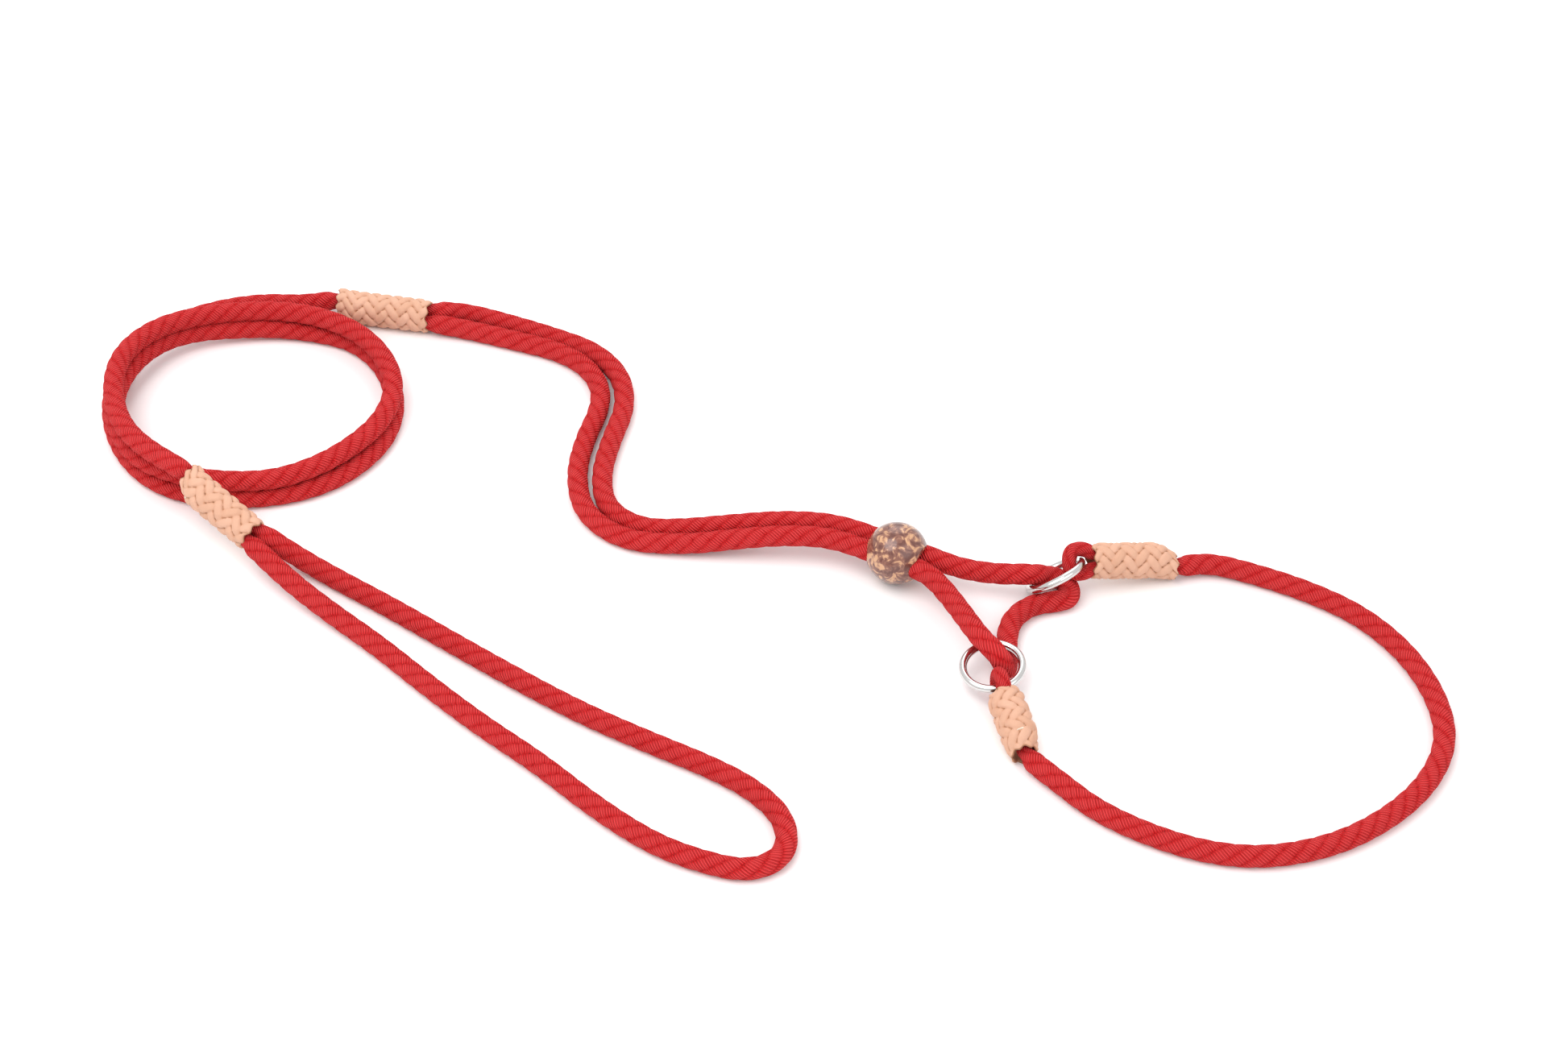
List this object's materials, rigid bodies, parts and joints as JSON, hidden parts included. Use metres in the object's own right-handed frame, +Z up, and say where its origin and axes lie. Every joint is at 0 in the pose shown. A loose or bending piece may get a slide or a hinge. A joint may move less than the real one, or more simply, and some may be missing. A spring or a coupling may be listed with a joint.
{
  "type": "rope halter",
  "caption": "Rope halter and lead in one: slip collar on steel rings, sliding wooden bead, doubled lead rope, coiled slack and a hand loop, bound with plaited leather.",
  "frame": {"origin": "middle of the bead, rings and leather wraps seen from above, on the floor they lie on", "axes": "+Z up from the floor, +X from the coil towards the collar, +Y away from the hand loop's side"},
  "size_m": [0.5532, 0.3337, 0.0316],
  "materials": {
    "rope": "braided matte cord",
    "leather": "plaited lace",
    "thread": "waxed thread",
    "steel": "polished",
    "bead": "polished, mottled"
  },
  "bodies": {
    "halter": {"lead_rope": "rope", "collar_rope": "rope", "handle_wrap": "leather", "handle_seizing": "thread", "splice_wrap": "leather", "splice_seizing": "thread", "far_collar_wrap": "leather", "far_collar_seizing": "thread", "near_collar_wrap": "leather", "near_collar_seizing": "thread"},
    "bead": {"bead": "bead"},
    "far_ring": {"far_ring": "steel"},
    "near_ring": {"near_ring": "steel"}
  },
  "joints": [
    {"name": "bead_slide", "type": "slide", "parent": "halter", "child": "bead", "axis": [-0.891, 0.454, 0], "range_m": [0, 0.01]},
    {"name": "far_ring_turn", "type": "hinge", "parent": "halter", "child": "far_ring", "pos_m": [0.1543, -0.0422, 0.0098], "axis": [-0.464, 0.465, 0.754], "continuous": true},
    {"name": "near_ring_turn", "type": "hinge", "parent": "halter", "child": "near_ring", "pos_m": [0.1266, -0.0923, 0.0092], "axis": [-0.099, -0.04, 0.9943], "continuous": true}
  ]
}
